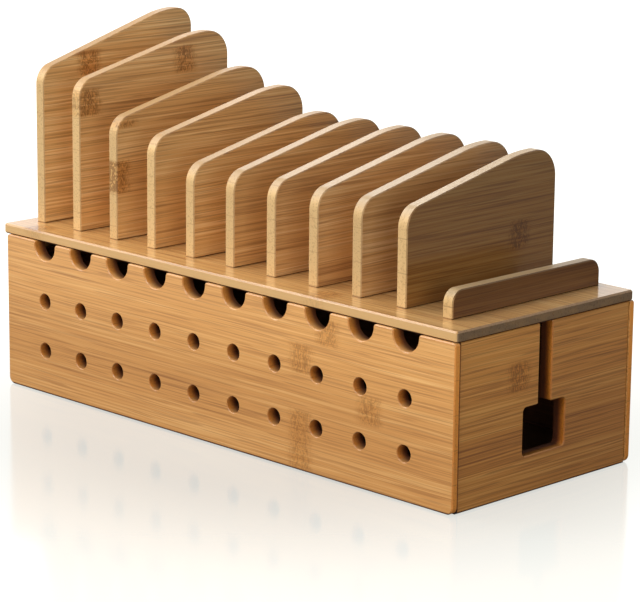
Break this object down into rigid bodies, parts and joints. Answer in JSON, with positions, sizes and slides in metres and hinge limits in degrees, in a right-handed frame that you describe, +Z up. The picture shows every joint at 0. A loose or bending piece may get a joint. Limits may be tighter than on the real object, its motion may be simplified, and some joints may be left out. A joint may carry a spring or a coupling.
{
  "type": "charging station organizer",
  "caption": "Bamboo charging station: a low ventilated box for a charger hub under a lift-off lid with a row of upright boards that hold devices on edge.",
  "frame": {"origin": "on the surface it stands on, under the middle of the whole object", "axes": "+X along the box to the end with the keyhole, +Y from the front with the cable notches to the back, +Z up"},
  "size_m": [0.3944, 0.155, 0.2343],
  "materials": {
    "panel_bamboo": "satin lacquered bamboo, grain lying along each board",
    "lid_bamboo": "satin lacquered bamboo, grain along the lid",
    "divider_bamboo": "satin lacquered bamboo, grain from front to back, pale end grain on the front edge",
    "inner_bamboo": "plain sanded bamboo"
  },
  "bodies": {
    "box": {"front_panel": "panel_bamboo", "back_panel": "panel_bamboo", "left_end_panel": "panel_bamboo", "right_end_panel": "panel_bamboo", "bottom_panel": "inner_bamboo"},
    "lid": {"lid_board": "lid_bamboo", "left_batten": "inner_bamboo", "right_batten": "inner_bamboo", "divider_01": "divider_bamboo", "divider_02": "divider_bamboo", "divider_03": "divider_bamboo", "divider_04": "divider_bamboo", "divider_05": "divider_bamboo", "divider_06": "divider_bamboo", "divider_07": "divider_bamboo", "divider_08": "divider_bamboo", "divider_09": "divider_bamboo", "divider_10": "divider_bamboo", "end_stop": "divider_bamboo"}
  },
  "joints": [
    {"name": "lid_lift", "type": "slide", "parent": "box", "child": "lid", "axis": [0, 0, 1], "range_m": [0, 0.15]}
  ]
}
